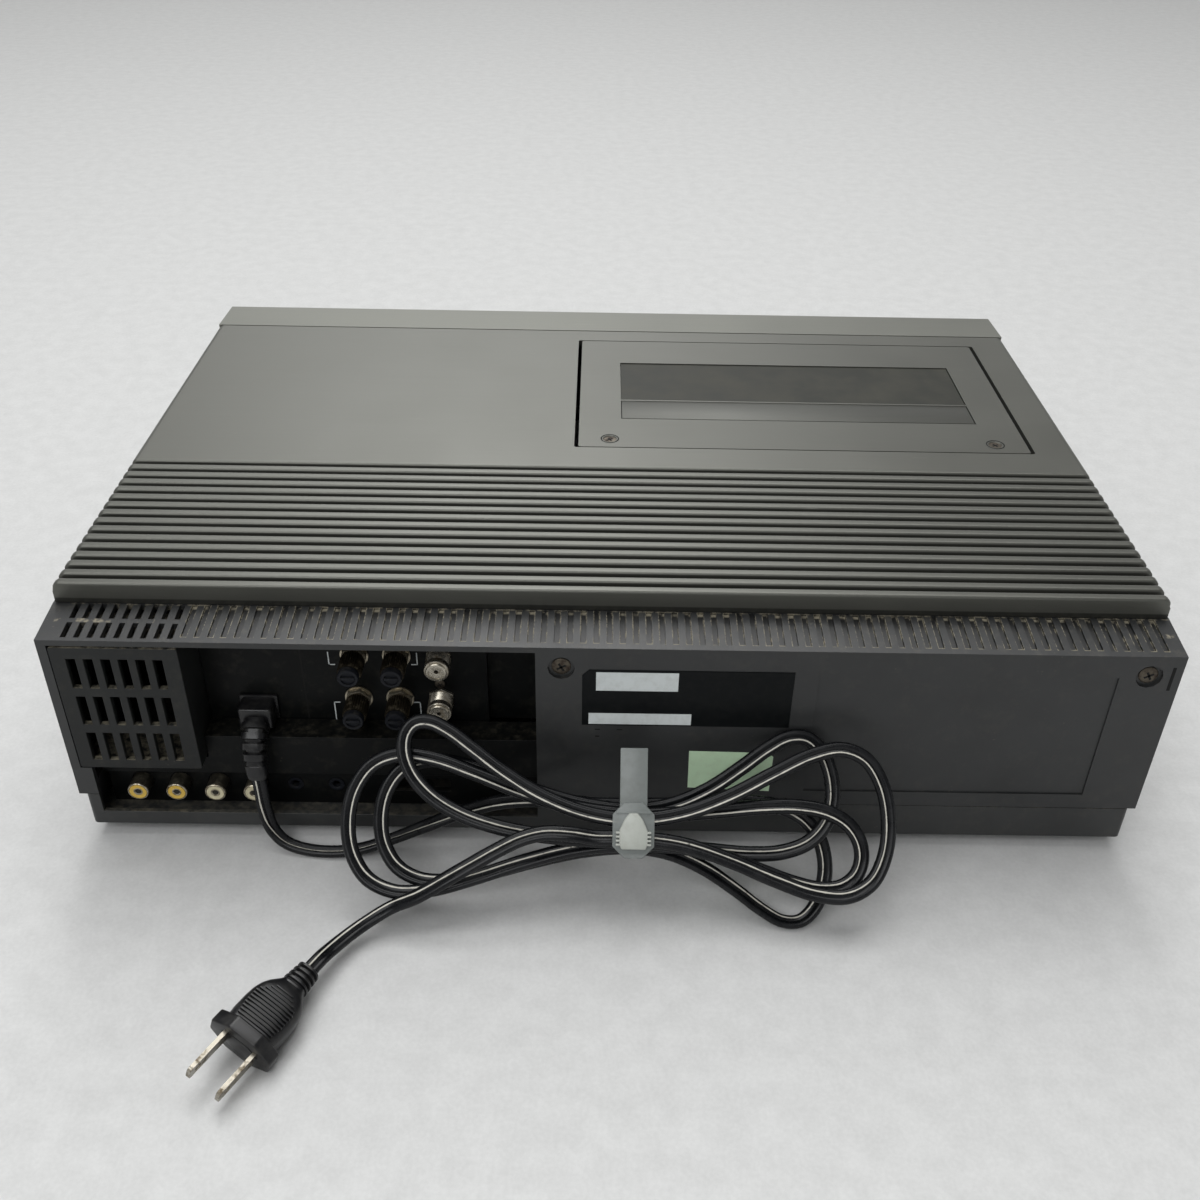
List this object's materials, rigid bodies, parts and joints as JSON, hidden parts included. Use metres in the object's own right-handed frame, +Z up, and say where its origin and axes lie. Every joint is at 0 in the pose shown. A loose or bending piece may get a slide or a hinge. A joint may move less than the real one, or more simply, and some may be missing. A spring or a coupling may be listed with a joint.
{
  "type": "video cassette recorder",
  "caption": "Top-loading video cassette recorder with a ribbed cover, lifting cassette lid on parallel arms, tape deck, rear connector bay and a tied flat mains lead.",
  "frame": {"origin": "on the table, under the middle of the cabinet's box", "axes": "+X to the recorder's left as seen from behind, +Y out of its rear, +Z up"},
  "size_m": [0.432, 0.4478, 0.112],
  "materials": {
    "gunmetal_cover": "satin warm grey, fine texture, dusty between the ribs",
    "gunmetal_front": "satin warm grey moulding",
    "charcoal_plastic": "fine grained, dusty",
    "black_plastic": "fine grained, dusty",
    "button_plastic": "satin",
    "smoked_pane": "polished, smoked",
    "nickel": "plated, slightly tarnished",
    "jack_plastic": "moulded collars, yellow and cream",
    "zinc_steel": "zinc plated sheet",
    "machined_alloy": "turned and polished",
    "white_plastic": "moulded",
    "roller_rubber": "ground",
    "foot_rubber": "moulded",
    "board_green": "lacquered laminate",
    "core_iron": "varnished",
    "cord_rubber": "soft vinyl, satin",
    "tie_plastic": "milky translucent",
    "blade_brass": "plated brass, worn"
  },
  "bodies": {
    "root": {"bottom_tray": "black_plastic", "foot_rear_left": "foot_rubber", "foot_rear_right": "foot_rubber", "foot_front_left": "foot_rubber", "foot_front_right": "foot_rubber", "cabinet_shell": "charcoal_plastic", "top_cover": "gunmetal_cover", "front_bezel": "gunmetal_front", "rear_vent_grille": "charcoal_plastic", "antenna_panel": "black_plastic", "jack_panel": "black_plastic", "antenna_terminal_upper_left": "nickel", "antenna_terminal_lower_left": "nickel", "antenna_terminal_upper_right": "nickel", "antenna_terminal_lower_right": "nickel", "phono_jack_block": "jack_plastic", "display_window": "smoked_pane", "deck_chassis": "zinc_steel", "drum_lower": "machined_alloy", "sound_control_head": "machined_alloy", "erase_head": "machined_alloy", "loading_motor": "core_iron", "main_board": "board_green", "power_transformer": "core_iron", "tuner_box": "zinc_steel", "strain_relief": "cord_rubber", "cord_lead_in": "cord_rubber", "cord_hank": "cord_rubber", "cord_lead_out": "cord_rubber", "cord_tie": "tie_plastic", "plug_body": "cord_rubber", "plug_blade_left": "blade_brass", "plug_blade_right": "blade_brass"},
    "front_arms": {"front_lift_arm_left": "zinc_steel", "front_lift_arm_right": "zinc_steel"},
    "rear_arms": {"rear_lift_arm_left": "zinc_steel", "rear_lift_arm_right": "zinc_steel"},
    "lid_holder": {"cassette_lid": "gunmetal_cover", "lid_window": "smoked_pane", "cassette_holder": "zinc_steel"},
    "supply_reel": {"supply_reel": "white_plastic"},
    "takeup_reel": {"takeup_reel": "white_plastic"},
    "head_drum": {"drum_upper": "machined_alloy"},
    "capstan": {"capstan": "machined_alloy"},
    "pinch_arm": {"pinch_arm": "zinc_steel"},
    "pinch_roller": {"pinch_roller": "roller_rubber"},
    "supply_guide": {"supply_guide": "machined_alloy"},
    "takeup_guide": {"takeup_guide": "machined_alloy"},
    "control_door": {"control_door": "gunmetal_front"},
    "tracking_knob": {"tracking_knob": "black_plastic"},
    "power_button": {"power_button": "button_plastic"},
    "eject_button": {"eject_button": "button_plastic"},
    "rewind_button": {"rewind_button": "button_plastic"},
    "play_button": {"play_button": "button_plastic"},
    "fast_forward_button": {"fast_forward_button": "button_plastic"},
    "stop_button": {"stop_button": "button_plastic"},
    "pause_button": {"pause_button": "button_plastic"},
    "record_button": {"record_button": "button_plastic"}
  },
  "joints": [
    {"name": "cassette_lift", "type": "hinge", "parent": "root", "child": "front_arms", "pos_m": [-0.08895, -0.019, 0.08], "axis": [-1, 0, 0], "range_deg": [0, 60]},
    {"name": "holder_level", "type": "hinge", "parent": "front_arms", "child": "lid_holder", "pos_m": [-0.08895, -0.089, 0.08], "axis": [-1, 0, 0], "range_deg": [-60, 0]},
    {"name": "rear_lift", "type": "hinge", "parent": "root", "child": "rear_arms", "pos_m": [-0.08895, 0.025, 0.092], "axis": [-1, 0, 0], "range_deg": [0, 60]},
    {"name": "supply_spin", "type": "hinge", "parent": "root", "child": "supply_reel", "pos_m": [-0.13515, -0.052, 0.066], "axis": [0, 0, 1], "continuous": true},
    {"name": "takeup_spin", "type": "hinge", "parent": "root", "child": "takeup_reel", "pos_m": [-0.04275, -0.052, 0.066], "axis": [0, 0, 1], "continuous": true},
    {"name": "drum_spin", "type": "hinge", "parent": "root", "child": "head_drum", "pos_m": [-0.092, 0.055, 0.06], "axis": [0, -0.0872, 0.9962], "continuous": true},
    {"name": "capstan_spin", "type": "hinge", "parent": "root", "child": "capstan", "pos_m": [-0.02, 0.035, 0.05], "axis": [0, 0, 1], "continuous": true},
    {"name": "pinch_engage", "type": "hinge", "parent": "root", "child": "pinch_arm", "pos_m": [0.01, 0.052, 0.07], "axis": [0, 0, 1], "range_deg": [-24.5, 0]},
    {"name": "pinch_roller_spin", "type": "hinge", "parent": "pinch_arm", "child": "pinch_roller", "pos_m": [-0.00202, 0.02462, 0.087], "axis": [0, 0, 1], "continuous": true},
    {"name": "supply_guide_slide", "type": "slide", "parent": "root", "child": "supply_guide", "axis": [0.3681, 0.9298, 0], "range_m": [0, 0.0515]},
    {"name": "takeup_guide_slide", "type": "slide", "parent": "root", "child": "takeup_guide", "axis": [-0.1644, 0.9864, 0], "range_m": [0, 0.0486]},
    {"name": "control_door_hinge", "type": "hinge", "parent": "root", "child": "control_door", "pos_m": [0.13, -0.1589, 0.0317], "axis": [1, 0, 0], "range_deg": [0, 92]},
    {"name": "tracking_turn", "type": "hinge", "parent": "root", "child": "tracking_knob", "pos_m": [0.16, -0.151, 0.041], "axis": [0, 1, 0], "range_deg": [-140, 140]},
    {"name": "power_press", "type": "slide", "parent": "root", "child": "power_button", "axis": [0, 1, 0], "range_m": [0, 0.003], "stiffness_N_per_m": 200},
    {"name": "eject_press", "type": "slide", "parent": "root", "child": "eject_button", "axis": [0, 1, 0], "range_m": [0, 0.003], "stiffness_N_per_m": 200},
    {"name": "rewind_press", "type": "slide", "parent": "root", "child": "rewind_button", "axis": [0, 1, 0], "range_m": [0, 0.003], "stiffness_N_per_m": 200},
    {"name": "play_press", "type": "slide", "parent": "root", "child": "play_button", "axis": [0, 1, 0], "range_m": [0, 0.003], "stiffness_N_per_m": 200},
    {"name": "fast_forward_press", "type": "slide", "parent": "root", "child": "fast_forward_button", "axis": [0, 1, 0], "range_m": [0, 0.003], "stiffness_N_per_m": 200},
    {"name": "stop_press", "type": "slide", "parent": "root", "child": "stop_button", "axis": [0, 1, 0], "range_m": [0, 0.003], "stiffness_N_per_m": 200},
    {"name": "pause_press", "type": "slide", "parent": "root", "child": "pause_button", "axis": [0, 1, 0], "range_m": [0, 0.003], "stiffness_N_per_m": 200},
    {"name": "record_press", "type": "slide", "parent": "root", "child": "record_button", "axis": [0, 1, 0], "range_m": [0, 0.003], "stiffness_N_per_m": 200}
  ],
  "couplings": [
    {"joint": "holder_level", "follows": "cassette_lift", "ratio": -1},
    {"joint": "rear_lift", "follows": "cassette_lift", "ratio": 1},
    {"joint": "takeup_guide_slide", "follows": "supply_guide_slide", "ratio": 0.9427}
  ]
}
